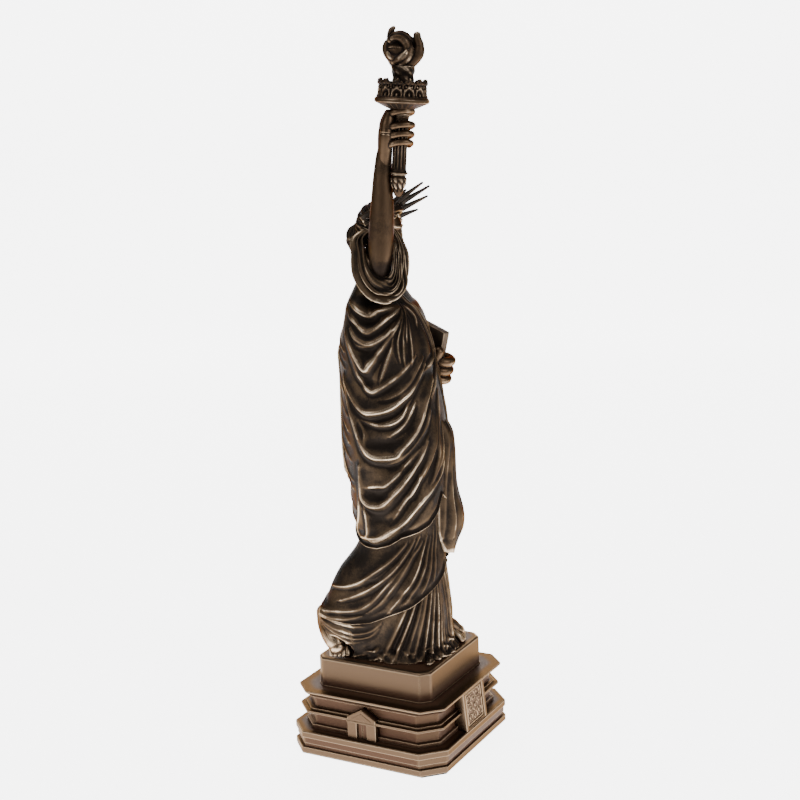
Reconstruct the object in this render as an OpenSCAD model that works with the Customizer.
// Miniature landmark statuette: a robed torch bearer standing on a stepped pedestal.
// The origin is the centre of the underside, +Z is up and the figure faces -Y,
// so her right arm with the torch is on the -X side and her left arm with the tablet on +X.

/* [Pedestal plan] */
// Width of the lowest slab across its flats
foot_w = 75; // [74:0.5:75.5]
// Width of the second slab, the widest course
slab_w = 75.5; // [75:0.5:76]
// Width of the recessed walls
wall_w = 63.2; // [62:0.2:64]
// Width of the ledge and of the terrace
terrace_w = 70.2; // [69:0.2:71]
// Width of the plinth under the figure
plinth_w = 53.8; // [52:0.2:55]
// Corner cut of the wide courses
corner_cut = 8; // [7:0.1:9]
// Corner cut of the plinth
plinth_cut = 3.6; // [3:0.1:4.5]

/* [Pedestal heights] */
// Felt pad thickness
felt_t = 0.6; // [0.5:0.1:0.8]
// Top of the lowest slab
foot_top = 3.2; // [3:0.1:3.4]
// Top of the dark groove
groove_top = 4.9; // [4.7:0.1:5.1]
// Underside of the second slab
slab_z = 7.6; // [7.4:0.1:7.8]
// Top of the second slab
slab_top = 10.6; // [10.4:0.1:10.8]
// Underside and top of the thin ledge between the walls
ledge_z = 18.3; // [18:0.1:18.5]
ledge_top = 19.3; // [19.1:0.1:19.5]
// Underside of the terrace moulding
moulding_z = 25; // [24.8:0.1:25.2]
// Top of the terrace
terrace_top = 28.2; // [28:0.1:28.4]
// Top of the plinth, on which the figure stands
plinth_top = 41.2; // [41:0.1:41.5]

/* [Doorways and panel] */
// Width of each gabled doorway
portico_w = 13.8; // [13:0.1:14.5]
// Height of the gable's peak
portico_peak = 24.4; // [24:0.1:24.5]
// Width of the sloping panel on the front
ramp_w = 19.7; // [18.5:0.1:20.5]

/* [Torch] */
// Centre of the gallery floor
torch_at = [-16.3, -20.2, 277];
// Lean of the torch: forwards, and to her left
torch_lean = [4.3, 1.7]; // [3:0.1:6]
// Outer radius of the gallery
gallery_r = 10.1; // [9.5:0.1:10.4]
// Radius of the fluted handle
handle_r = 3; // [2.8:0.1:3.2]

/* [Crown] */
// Number of rays
ray_n = 7; // [5:1:7]
// Length of the middle ray
ray_len = 14; // [12:0.5:14.5]
// Angle between neighbouring rays
ray_step = 25; // [24:1:26]

/* [Hidden] */
$fn = 48;
tie_d = 4;
tie_clear = 0.3;
pin_d = 3;
washer_d = 12;
head_at = [0.4, 0, 224];
tablet_size = [24, 3.4, 41];
tablet_at = [27.3, -1, 161.3];
sides = 40;

// ---------- plan shapes of the pedestal ----------

// A square with its corners cut off, by half width and cut
function cut_square(half, cut) = [[half, cut - half], [half, half - cut], [half - cut, half],
    [cut - half, half], [-half, half - cut], [-half, cut - half], [cut - half, -half],
    [half - cut, -half]];

// One straight course of the pedestal between two heights
module course(half, cut, z0, z1) {
    translate([0, 0, z0]) linear_extrude(z1 - z0) polygon(cut_square(half, cut));
}

// A course whose half width changes evenly from z0 to z1
module battered(half0, half1, cut, z0, z1) {
    low = [for (p = cut_square(half0, cut)) [p[0], p[1], z0]];
    high = [for (p = cut_square(half1, cut - (half0 - half1) * 0.6)) [p[0], p[1], z1]];
    polyhedron(concat(low, high), concat([[for (i = [0:7]) i]], [[for (i = [7:-1:0]) i + 8]],
        [for (i = [0:7]) [(i + 1) % 8, i, i + 8, (i + 1) % 8 + 8]]));
}

// The hole for the tie bolt, with a pocket for its head and washer
module tie_hole() {
    translate([0, 0, -1]) cylinder(d = tie_d + 2 * tie_clear, h = 80);
}
module tie_pocket() {
    translate([0, 0, -1]) cylinder(d = washer_d + 0.6, h = slab_z + 1);
}

// The space that a doorway fills, seen from the -X face
module portico_space(turn) {
    rotate(turn) translate([-slab_w / 2, -portico_w / 2, slab_top]) cube([slab_w / 2 - wall_w / 2, portico_w, 10.2]);
}
module ramp_space() {
    translate([-ramp_w / 2, -slab_w / 2, slab_top]) cube([ramp_w, slab_w / 2 - wall_w / 2, terrace_top - slab_top - 0.8]);
}
module openings_in_course() {
    portico_space(0);
    portico_space(180);
    portico_space(-90);
    ramp_space();
}

// ---------- pedestal parts ----------

module felt_pad() {
    color("#2a221d") course(foot_w / 2 - 0.7, corner_cut - 0.5, 0, felt_t);
}

module foot_course() {
    color("#9a7d65") difference() {
        union() {
            course(foot_w / 2, corner_cut - 0.3, felt_t, foot_top);
            course(foot_w / 2 - 1.1, corner_cut - 0.4, foot_top, groove_top);
        }
        tie_pocket();
    }
}

module step_course() {
    color("#9a7d65") difference() {
        union() {
            course(slab_w / 2 - 0.7, corner_cut - 0.1, groove_top, slab_z);
            course(slab_w / 2, corner_cut + 0.1, slab_z, slab_top - 0.3);
            battered(slab_w / 2, slab_w / 2 - 0.3, corner_cut + 0.1, slab_top - 0.3, slab_top);
        }
        tie_pocket();
        tie_hole();
    }
}

module lower_wall() {
    color("#6b4c38") difference() {
        union() {
            course(wall_w / 2 + 1.4, 6.9, slab_top, slab_top + 1.8);
            course(wall_w / 2, 6.6, slab_top + 1.8, ledge_z);
        }
        openings_in_course();
        tie_hole();
    }
}

module ledge_course() {
    color("#a58a72") difference() {
        union() {
            course(terrace_w / 2, corner_cut, ledge_z, ledge_top);
            course(terrace_w / 2 - 1.7, corner_cut - 0.6, ledge_top, ledge_top + 0.9);
        }
        openings_in_course();
        tie_hole();
    }
}

module upper_wall() {
    color("#6b4c38") difference() {
        union() {
            course(wall_w / 2, 6.8, ledge_top + 0.9, moulding_z);
            course(wall_w / 2 + 0.8, 7, moulding_z - 0.4, moulding_z);
        }
        ramp_space();
        tie_hole();
    }
}

module terrace() {
    color("#a58a72") difference() {
        union() {
            battered(terrace_w / 2 - 2.4, terrace_w / 2, 6.4, moulding_z, terrace_top - 0.8);
            course(terrace_w / 2, corner_cut - 0.2, terrace_top - 0.8, terrace_top);
        }
        ramp_space();
        tie_hole();
    }
}

module plinth() {
    half = plinth_w / 2;
    color("#9a7d65") difference() {
        union() {
            course(half + 0.3, plinth_cut + 0.1, terrace_top, terrace_top + 0.4);
            course(half, plinth_cut, terrace_top + 0.4, plinth_top - 0.7);
            battered(half, half - 0.7, plinth_cut, plinth_top - 0.7, plinth_top);
        }
        tie_hole();
        pin_places() translate([0, 0, plinth_top - 6]) cylinder(d = pin_d + 0.2, h = 8);
    }
}

// A gabled doorway with two piers and a recessed door, on the -X face before it is turned
module portico(turn) {
    half = portico_w / 2;
    back = wall_w / 2;
    depth = 4;
    eaves = slab_top + 8;
    color("#9c8068") rotate(turn) translate([-back, 0, 0]) rotate([90, 0, -90]) difference() {
        union() {
            linear_extrude(depth) polygon([[-half, eaves], [-half, eaves + 1.9],
                [0, portico_peak], [half, eaves + 1.9], [half, eaves]]);
            for (side = [-1, 1])
                translate([side * (half - 2.5) - 2.2, slab_top, 0]) cube([4.4, eaves - slab_top, depth - 0.3]);
            translate([-2.3, slab_top, 0]) cube([4.6, eaves - slab_top, depth - 1.4]);
        }
    }
}
module portico_right() portico(0);
module portico_back() portico(-90);
module portico_left() portico(180);

// Height of the sloping front at a given height, as the distance out from the middle
ramp_foot = slab_w / 2 - 0.2;
ramp_head = terrace_w / 2 - 0.2;
ramp_h = terrace_top - 0.8 - slab_top;
ramp_tilt = atan((ramp_foot - ramp_head) / ramp_h);

module front_ramp() {
    color("#8a6f5a") difference() {
        translate([-ramp_w / 2, 0, slab_top]) rotate([90, 0, 90]) linear_extrude(ramp_w)
            polygon([[-ramp_foot, 0], [-wall_w / 2, 0], [-wall_w / 2, ramp_h], [-ramp_head, ramp_h]]);
        ramp_face(1.2, 0.8) cube([ramp_w - 5, 3, ramp_h - 1.6]);
    }
}
// Places a plate on the sloping face, sunk by some depth and lifted from the foot
module ramp_face(lift, sunk) {
    translate([0, -ramp_foot, slab_top]) rotate([-ramp_tilt, 0, 0])
        translate([-(ramp_w - 5) / 2, sunk - 3, lift]) children();
}
module relief_panel() {
    color("#7d6552") ramp_face(1.2, 0.8) translate([0, 2.5, 0]) cube([ramp_w - 5, 0.5, ramp_h - 1.6]);
}

// ---------- fixings ----------

module tie_bolt() {
    color("#8c8c8c") union() {
        translate([0, 0, slab_z - 4.2]) cylinder(d = 7, h = 3.2);
        translate([0, 0, slab_z - 1]) cylinder(d = tie_d, h = 64);
    }
}
module tie_washer() {
    color("#8c8c8c") translate([0, 0, slab_z - 1]) difference() {
        cylinder(d = washer_d, h = 1);
        translate([0, 0, -1]) cylinder(d = tie_d + 0.4, h = 3);
    }
}
module pin_places() {
    for (x = [-12, 14]) translate([x, -6, 0]) children();
}
module locating_pins() {
    color("#8c8c8c") pin_places() translate([0, 0, plinth_top - 5.8]) cylinder(d = pin_d, h = 11.6);
}

// ---------- meshes that the figure is made of ----------

// Two triangles for each four-cornered face, given clockwise from outside
function halves(quads) = [for (q = quads, k = [0, 1]) k == 0 ? [q[0], q[1], q[2]] : [q[0], q[2], q[3]]];

// Faces of a stack of rings with n points each, closed at both ends
function stack_faces(rings, n) = concat(
    halves([for (r = [0:rings - 2], c = [0:n - 1])
        [r * n + c, (r + 1) * n + c, (r + 1) * n + (c + 1) % n, r * n + (c + 1) % n]]),
    [for (c = [1:n - 2]) [0, c, c + 1]],
    [for (c = [1:n - 2]) let (t = (rings - 1) * n) [t, t + c + 1, t + c]]);

// A round limb through path points [x, y, z, radius], with rings square to the path
module limb(path, n = 12) {
    last = len(path) - 1;
    at = [for (p = path) [p[0], p[1], p[2]]];
    rings = [for (i = [0:last]) let (
        d = at[min(i + 1, last)] - at[max(i - 1, 0)],
        w = d / norm(d),
        side = abs(w[2]) > 0.9 ? [1, 0, 0] : [0, 0, 1],
        v = cross(w, side) / norm(cross(w, side)),
        u = cross(v, w)
    ) for (c = [0:n - 1]) at[i] + path[i][3] * (cos(360 * c / n) * u + sin(360 * c / n) * v)];
    polyhedron(rings, stack_faces(last + 1, n));
}

// Row of a table of body sections [height, middle x, middle y, half width, half depth] at height z
function section(rows, z) = [for (c = [1:4]) lookup(z, [for (r = rows) [r[0], r[c]]])];

// Distance from the middle of an oval to its edge at some angle
function oval(a, b, turn) = a * b / sqrt(pow(b * cos(turn), 2) + pow(a * sin(turn), 2));

// Point of the cloth at a height and an angle: the oval section, grown, with the bent leg's swell
function cloth(rows, z, turn, grow = 0, swell = 0) = let (
    s = section(rows, z),
    off = min(abs(turn - 128), 360 - abs(turn - 128)),
    bulge = swell * lookup(z, leg_swell) * exp(-pow(off / 30, 2)),
    r = oval(s[2], s[3], turn) + grow + bulge
) [s[0] + r * cos(turn), s[1] + r * sin(turn), z];

// How far the raised heel pushes the cloth out behind, by height
leg_swell = [[41, 8], [50, 15], [57, 17], [64, 12], [74, 5], [84, 0]];

// Sections of the folded mantle, of the long over-gown and of the pleated under-gown
mantle_rows = [[84, 1, -4.6, 22.8, 19.6], [100, 1.5, -4, 24, 20], [128, 2, -2.4, 25.4, 21.4],
    [142, 2, -1.5, 25.4, 20.8], [163, 1.6, 0.4, 24.4, 18.6], [177, 1, 1.5, 23.6, 16.8],
    [190, 1, 2.1, 22, 13.2], [200, 0.6, 2.2, 19.5, 10], [207, 0.4, 2.2, 15, 8.2]];
over_rows = [[50, 1, -5, 22, 20.2], [60, 1, -5.3, 21.8, 19.6], [74, 1, -5.1, 21.8, 19],
    [82, 1, -4.8, 21, 18], [90, 1.1, -4.5, 19.8, 16.6], [106, 1.4, -4, 20.6, 16.8]];
under_rows = [[41, 2, -4, 23, 20.8], [46, 1.8, -4.2, 21.2, 19.4], [52, 1.5, -4.6, 19.8, 18],
    [62, 1, -5, 19.3, 17.2], [90, 1.1, -4.5, 17.8, 14.6], [106, 1.4, -4, 18.2, 14.6]];

// Hems by angle, from her left side round by the back: 90 is behind her and 270 in front
mantle_hem = [[0, 96], [60, 106], [110, 98], [150, 92], [210, 95], [240, 100], [280, 103],
    [320, 98], [360, 96]];
over_hem = [[0, 70], [60, 62], [90, 58], [125, 57], [180, 59], [210, 60], [235, 67], [255, 77],
    [280, 86], [320, 80], [360, 70]];

// A closed shell of cloth between its hem and its top, all the way round
module cloth_shell(rows, hem, top, thick, swell = 0, rings = 9) {
    loop = 2 * rings;
    points = [for (i = [0:sides - 1]) let (turn = 360 * i / sides, low = lookup(turn, hem))
        for (j = [0:loop - 1]) let (
            out = j < rings,
            f = (out ? j : loop - 1 - j) / (rings - 1)
        ) cloth(rows, low + (top - low) * f, turn, out ? 0 : -thick, swell)];
    polyhedron(points, halves([for (i = [0:sides - 1], j = [0:loop - 1]) let (
        a = i * loop, b = ((i + 1) % sides) * loop, k = (j + 1) % loop
    ) [a + j, a + k, b + k, b + j]]));
}

// A hanging panel of cloth over part of the way round, lifted off the rows by some gap
module cloth_panel(rows, from, to, low, top, gap, thick, flare = 0, cols = 8, rings = 7) {
    loop = 2 * rings;
    points = [for (i = [0:cols]) let (turn = from + (to - from) * i / cols)
        for (j = [0:loop - 1]) let (
            out = j < rings,
            f = (out ? j : loop - 1 - j) / (rings - 1),
            base = low + (i % 2) * 1.2,
            z = base + (top - base) * f,
            grow = gap + flare * (1 - f) + 0.5 * (i % 2) + (out ? thick : 0)
        ) cloth(rows, z, turn, grow)];
    walls = [for (i = [0:cols - 1], j = [0:loop - 1]) let (
        a = i * loop, b = (i + 1) * loop, k = (j + 1) % loop) [a + j, a + k, b + k, b + j]];
    ends = [for (j = [0:rings - 2]) each let (e = cols * loop, m = loop - 1)
        [[j, m - j, m - 1 - j, j + 1], [e + j, e + j + 1, e + m - 1 - j, e + m - j]]];
    polyhedron(points, halves(concat(walls, ends)));
}

// ---------- gowns ----------

module under_gown() {
    rings = 15;
    points = [for (r = [0:rings - 1]) let (z = plinth_top + (106 - plinth_top) * r / (rings - 1))
        for (c = [0:sides - 1]) let (turn = 360 * c / sides)
            cloth(under_rows, z, turn, c % 2 == 0 ? 0 : -0.9, 0.5 * (1 - r / rings))];
    color("#4a3a2c") difference() {
        polyhedron(points, stack_faces(rings, sides));
        tie_hole();
        pin_places() translate([0, 0, plinth_top - 1]) cylinder(d = pin_d + 0.2, h = 7.2);
    }
}

module over_gown() {
    color("#5a4636") cloth_shell(over_rows, over_hem, 106, 1.6, 1);
}

module torso() {
    rings = 12;
    points = [for (r = [0:rings - 1]) let (z = 106 + (207 - 106) * r / (rings - 1))
        for (c = [0:sides - 1]) cloth(mantle_rows, z, 360 * c / sides, -3)];
    color("#4a3a2c") polyhedron(points, stack_faces(rings, sides));
}

module mantle() {
    color("#5a4636") cloth_shell(mantle_rows, mantle_hem, 205, 2.6);
}
module back_fall() {
    color("#4a3a2c") cloth_panel(mantle_rows, 62, 122, 116, 186, 0.1, 1.3);
}
module front_fall() {
    color("#5a4636") cloth_panel(mantle_rows, 290, 338, 86, 148, 0.1, 1.6, 2.6);
}

// An oval ring with n points: middle x, y, z, then its half width and half depth
function oval_ring(p, n = 24) = [for (k = [0:n - 1]) let (a = 360 * k / n)
    [p[0] + p[3] * cos(a), p[1] + p[4] * sin(a), p[2] + p[5] * cos(a)]];

// The pouch of cloth that has slid down the raised arm, open upwards
module shoulder_drape() {
    rings = [[-10, -5, 194, 3, 4, 0], [-11, -4.6, 196, 7.6, 9, 0], [-12.5, -3.6, 203, 9.6, 12, 1],
        [-13.6, -3.4, 212, 9.4, 12, 2], [-14.4, -3.8, 220, 8.4, 11, 3], [-15, -4.4, 224, 7.4, 9.8, 3.5],
        [-15, -4.4, 223.5, 6.2, 8.6, 3.5], [-14.6, -4.2, 216, 6.6, 9.2, 2.5],
        [-14.6, -5, 208, 6.2, 7.6, 1.5], [-15, -6, 203, 4, 4.6, 1]];
    color("#6b5340") polyhedron([for (p = rings) each oval_ring(p)], stack_faces(len(rings), 24));
}

// ---------- raised arm and torch ----------

module right_arm() {
    color("#6e5440") limb([[-14.8, -6, 203.4, 4.2], [-17, -8.2, 214, 4.7], [-17.3, -9.4, 226, 5],
        [-17.5, -10.4, 236, 4.7], [-17.9, -11.2, 246, 3.9], [-18.2, -12.2, 255, 3.3],
        [-18.3, -12.8, 258, 3.4]], 20);
}

// Puts children in the torch's own frame, with the gallery floor at height 0
module in_torch() {
    translate(torch_at) rotate([torch_lean[0], torch_lean[1], 0]) children();
}
// Point of the torch's frame in the figure's frame
function torch_point(r, turn, h) = let (
    p = [r * cos(turn), r * sin(turn), h],
    q = [p[0], p[1] * cos(torch_lean[0]) - p[2] * sin(torch_lean[0]),
        p[1] * sin(torch_lean[0]) + p[2] * cos(torch_lean[0])]
) torch_at + [q[0] * cos(torch_lean[1]) + q[2] * sin(torch_lean[1]), q[1],
    -q[0] * sin(torch_lean[1]) + q[2] * cos(torch_lean[1])];

// Palm against the back of the handle and four fingers bent around it
module right_hand() {
    palm_turn = 118;
    grip = handle_r + 0.2;
    module finger(h, reach, fat) {
        steps = 9;
        limb([for (i = [0:steps]) let (f = i / steps) concat(
            torch_point(grip + fat, palm_turn + 30 + reach * f, h + 1.6 * sin(180 * f)), [fat * (1 - 0.2 * f)])], 10);
    }
    color("#7d6049") union() {
        difference() {
            hull() {
                for (h = [-9.5, -17.5]) in_torch() rotate(palm_turn) translate([5.4, -1.6, h]) sphere(2.6, $fn = 20);
                for (h = [-9, -17]) in_torch() rotate(palm_turn) translate([5, 2.4, h]) sphere(2.2, $fn = 20);
                translate([-18.3, -12.8, 257.6]) sphere(3.1, $fn = 20);
            }
            in_torch() translate([0, 0, -24]) cylinder(r = grip, h = 30);
        }
        for (i = [0:2]) finger(-10.2 - 3.5 * i, 205 - 12 * i, 1.65);
        finger(-6.4, 200, 1.7);
        limb([concat(torch_point(5.4, palm_turn - 20, -15), [2]), concat(torch_point(5.2, palm_turn - 55, -11), [1.9]),
            concat(torch_point(5, palm_turn - 80, -7.5), [1.6]), concat(torch_point(5, palm_turn - 92, -5), [1.2])], 10);
    }
}

module handle_pommel() {
    color("#8a6c52") in_torch() rotate_extrude() polygon([[0, -38.4], [1.3, -38], [2.1, -36.4],
        [2.3, -35], [3.1, -33], [3.4, -31], [3.1, -29.4], [0, -29.4]]);
}
module torch_handle() {
    color("#7a5e48") in_torch() union() {
        translate([0, 0, -29.4]) cylinder(r = handle_r + 0.4, h = 0.9);
        translate([0, 0, -28.5]) difference() {
            cylinder(r = handle_r, h = 21.7);
            for (k = [0:11]) rotate(30 * k) translate([handle_r + 0.35, 0, 0.8]) cylinder(r = 0.6, h = 8, $fn = 16);
        }
    }
}
module torch_collar() {
    color("#4a3a2c") in_torch() translate([0, 0, -6.8]) rotate_extrude()
        polygon([[0, 0], [3.9, 0], [4.2, 0.8], [3.7, 1.6], [4.6, 2.4], [4.6, 3.2], [0, 3.2]]);
}
module gallery_dish() {
    r = gallery_r;
    color("#8a6c52") in_torch() translate([0, 0, -3.6]) rotate_extrude()
        polygon([[0, 0], [4.6, 0], [r - 0.6, 2.8], [r, 3.2], [r, 4.6], [r - 0.7, 5.2], [0, 5.2]]);
}
module gallery_rail() {
    color("#5a4636") in_torch() translate([0, 0, 1.6]) difference() {
        union() {
            cylinder(r = gallery_r - 0.6, h = 4.8);
            for (k = [0:11]) rotate(30 * k + 15) translate([gallery_r - 1.4, 0, 4.2]) cylinder(r = 1.1, h = 1.4, $fn = 16);
        }
        translate([0, 0, -1]) cylinder(r = gallery_r - 1.9, h = 9);
        for (k = [0:11]) rotate(30 * k) translate([gallery_r - 3, 0, 2.3]) rotate([0, 90, 0]) cylinder(r = 1.3, h = 4, $fn = 20);
    }
}
module flame_neck() {
    color("#33271e") in_torch() translate([0, 0, 1.6]) rotate_extrude()
        polygon([[0, 0], [5.2, 0], [5.2, 2.4], [4.5, 4.6], [4, 7], [4.4, 9.6], [0, 9.6]]);
}
module flame() {
    color("#7d6049") in_torch() translate([0, 0, 11.2]) union() {
        polyhedron([for (p = [[0, 0, 0, 3.4, 3.4, 0], [0, 0, 2.6, 5.8, 5.6, 0], [-0.3, 0.4, 6.4, 7, 6.6, 0],
            [-0.6, 0.8, 10.2, 6.2, 5.8, 0], [-0.9, 1.6, 13, 3.8, 3.6, 0], [-1.2, 2.6, 15, 1.6, 1.6, 0],
            [-1.2, 3, 16.3, 0.7, 0.7, 0]]) each oval_ring(p)], stack_faces(7, 24));
        limb([[2, -4, 2.4, 2.2], [3.4, -6.4, 6.4, 2.1], [3.2, -6.4, 10, 1.7], [2.8, -5.9, 12.6, 1]], 10);
    }
}

// ---------- head and crown ----------

module neck() {
    color("#5a4636") limb([[0, 2.4, 207, 7.4], [0.2, 1.6, 210, 5.4], [0.3, 0.8, 216, 4.9], [0.4, 0.4, 219, 5]], 20);
}
module head() {
    color("#6e5440") translate(head_at) hull() {
        translate([0, 0.6, 2.6]) sphere(7.6, $fn = 32);
        translate([0, -1.6, -3.4]) sphere(5.6, $fn = 28);
        translate([0, -4.2, -8.2]) sphere(2.6, $fn = 24);
        translate([0, -8.4, -1.6]) sphere(0.9, $fn = 16);
    }
}
module hair() {
    color("#33271e") translate(head_at) difference() {
        polyhedron([for (p = [[0, 4.4, -9.5, 4.6, 4.6, 0], [0, 4, -6, 7.6, 6.6, 0], [0, 2.6, -1, 9.4, 8.6, 0],
            [0, 1, 3, 9.6, 10.2, 0], [0, 0.8, 6.6, 8.8, 9.6, 0], [0, 1, 9.6, 6.2, 7, 0],
            [0, 1.2, 11.2, 2.6, 3, 0]]) each oval_ring(p, 28)], stack_faces(7, 28));
        hull() {
            translate([0, -10, 0.4]) sphere(7, $fn = 24);
            translate([0, -13, -8]) sphere(7.5, $fn = 24);
        }
    }
}
module hair_knot() {
    color("#33271e") polyhedron([for (p = [[0.2, 11.6, 209, 1.6, 1.8, 0], [0.2, 12.6, 212, 2.8, 2.6, 0],
        [0.2, 12.8, 216, 3, 2.8, 0], [0.2, 13.2, 219, 4, 3.6, 0], [0.2, 13.2, 222, 3.8, 3.4, 0],
        [0.2, 12.4, 224.6, 2, 1.8, 0]]) each oval_ring(p, 20)], stack_faces(6, 20));
}
module diadem() {
    color("#4a3a2c") translate(head_at + [0, 0.4, 3]) rotate([-28, 0, 0]) difference() {
        rotate_extrude() polygon([[8.4, 0], [10, 0], [10.8, 4.6], [10, 5.2], [8.4, 3.6]]);
        translate([-12, 2.4, -2]) cube([24, 12, 9]);
    }
}
// One four-sided ray, by its place counted from the middle of the crown
module ray(i) {
    turn = ray_step * i;
    long = ray_len - 0.9 * abs(i);
    color("#33271e") translate(head_at + [0, 0.4, 3]) rotate([-42, 0, 0]) rotate([0, 0, -turn])
        translate([0, -10.4, 1.9]) rotate([90, 0, 0]) rotate(45) cylinder(r1 = 1.25, r2 = 0.3, h = long, $fn = 4);
}
module ray_1() ray(-3);
module ray_2() ray(-2);
module ray_3() ray(-1);
module ray_4() ray(0);
module ray_5() ray(1);
module ray_6() ray(2);
module ray_7() ray(3);

// ---------- tablet arm ----------

// The tablet's own frame: x across it, away from the hand, and z up its length
module on_tablet() {
    translate(tablet_at) rotate([0, -16.3, 71.2]) translate([-tablet_size[0] / 2, 0, -tablet_size[2] / 2]) children();
}
function tablet_point(x, y, z) = let (
    px = x - tablet_size[0] / 2, pz = z - tablet_size[2] / 2,
    qx = px * cos(16.3) - pz * sin(16.3), qz = px * sin(16.3) + pz * cos(16.3)
) tablet_at + [qx * cos(71.2) - y * sin(71.2), qx * sin(71.2) + y * cos(71.2), qz];

module left_sleeve() {
    color("#5a4636") limb([[16.6, 1.5, 197, 5.4], [20.4, 1.5, 188, 6], [23, 2.5, 172, 5.4], [24, 2, 160, 5.4],
        [23.4, -4, 154, 4.8], [22.4, -10, 156, 3.6]], 16);
}
module left_hand() {
    edge = -tablet_size[1] / 2;
    color("#7d6049") union() {
        limb([[22.2, -11, 156.4, 2.7], concat(tablet_point(1.5, 4.6, 25), [3.2]),
            concat(tablet_point(-1.4, 3.4, 30), [3])], 14);
        for (i = [0:3]) let (h = 20.4 + 4.3 * i, r = i == 0 ? 1.9 : 2.2) limb([
            concat(tablet_point(0.6, 3.9, h), [r]), concat(tablet_point(-2.6, 2.6, h), [r]),
            concat(tablet_point(-3.6, -0.6, h), [r]), concat(tablet_point(-1.6, edge - 2, h), [r * 0.95]),
            concat(tablet_point(2.6, edge - 1.9, h), [r * 0.8])], 10);
    }
}
module tablet() {
    s = tablet_size;
    color("#4a3a2c") on_tablet() difference() {
        translate([0, -s[1] / 2, 0]) cube(s);
        translate([1.8, -s[1] / 2 - 1, 1.8]) cube([s[0] - 3.6, 1.5, s[2] - 3.6]);
    }
}

// ---------- feet and chain ----------

// Five toes side by side, the big one first, over a pad that joins them
module toes(at, turn, fat) {
    translate(at) rotate(turn) union() {
        for (i = [0:4]) translate([(i - 2) * 1.75 * fat, -0.6 * abs(i - 1), 0])
            sphere(fat * (i == 0 ? 1.25 : 1), $fn = 20);
        translate([-3.6 * fat, 0, -fat]) cube([7.2 * fat, 3, 1.6 * fat]);
    }
}
module right_foot() {
    color("#8a6c52") union() {
        limb([[-20.4, 22.5, 57, 3.8], [-21, 19.6, 51.4, 4], [-22, 16.6, 46.4, 4], [-22.6, 13.4, 44, 2.8]], 14);
        toes([-22.8, 11, plinth_top + 1.5], -24, 1.2);
    }
}
module left_foot() {
    color("#6e5440") union() {
        limb([[15.2, -14, 48, 4.2], [15.8, -18, 46.2, 4], [16.4, -21, 44.2, 3]], 14);
        toes([16.8, -23, plinth_top + 1.5], 12, 1.2);
    }
}
module broken_chain() {
    color("#33271e") for (i = [0:5]) translate([-16 + 3.3 * i, -23.6 + 0.9 * (i % 2), plinth_top + 0.9])
        rotate([0, 0, 35 * i]) scale([1, 0.7, 1]) rotate_extrude($fn = 16) translate([1.7, 0]) circle(0.75, $fn = 12);
}

// ---------- assembly ----------

felt_pad();
foot_course();
step_course();
lower_wall();
ledge_course();
upper_wall();
terrace();
plinth();
portico_right();
portico_back();
portico_left();
front_ramp();
relief_panel();
tie_bolt();
tie_washer();
locating_pins();
under_gown();
over_gown();
torso();
mantle();
back_fall();
front_fall();
shoulder_drape();
right_arm();
right_hand();
handle_pommel();
torch_handle();
torch_collar();
gallery_dish();
gallery_rail();
flame_neck();
flame();
neck();
head();
hair();
hair_knot();
diadem();
ray_1();
ray_2();
ray_3();
ray_4();
ray_5();
ray_6();
ray_7();
left_sleeve();
left_hand();
tablet();
right_foot();
left_foot();
broken_chain();
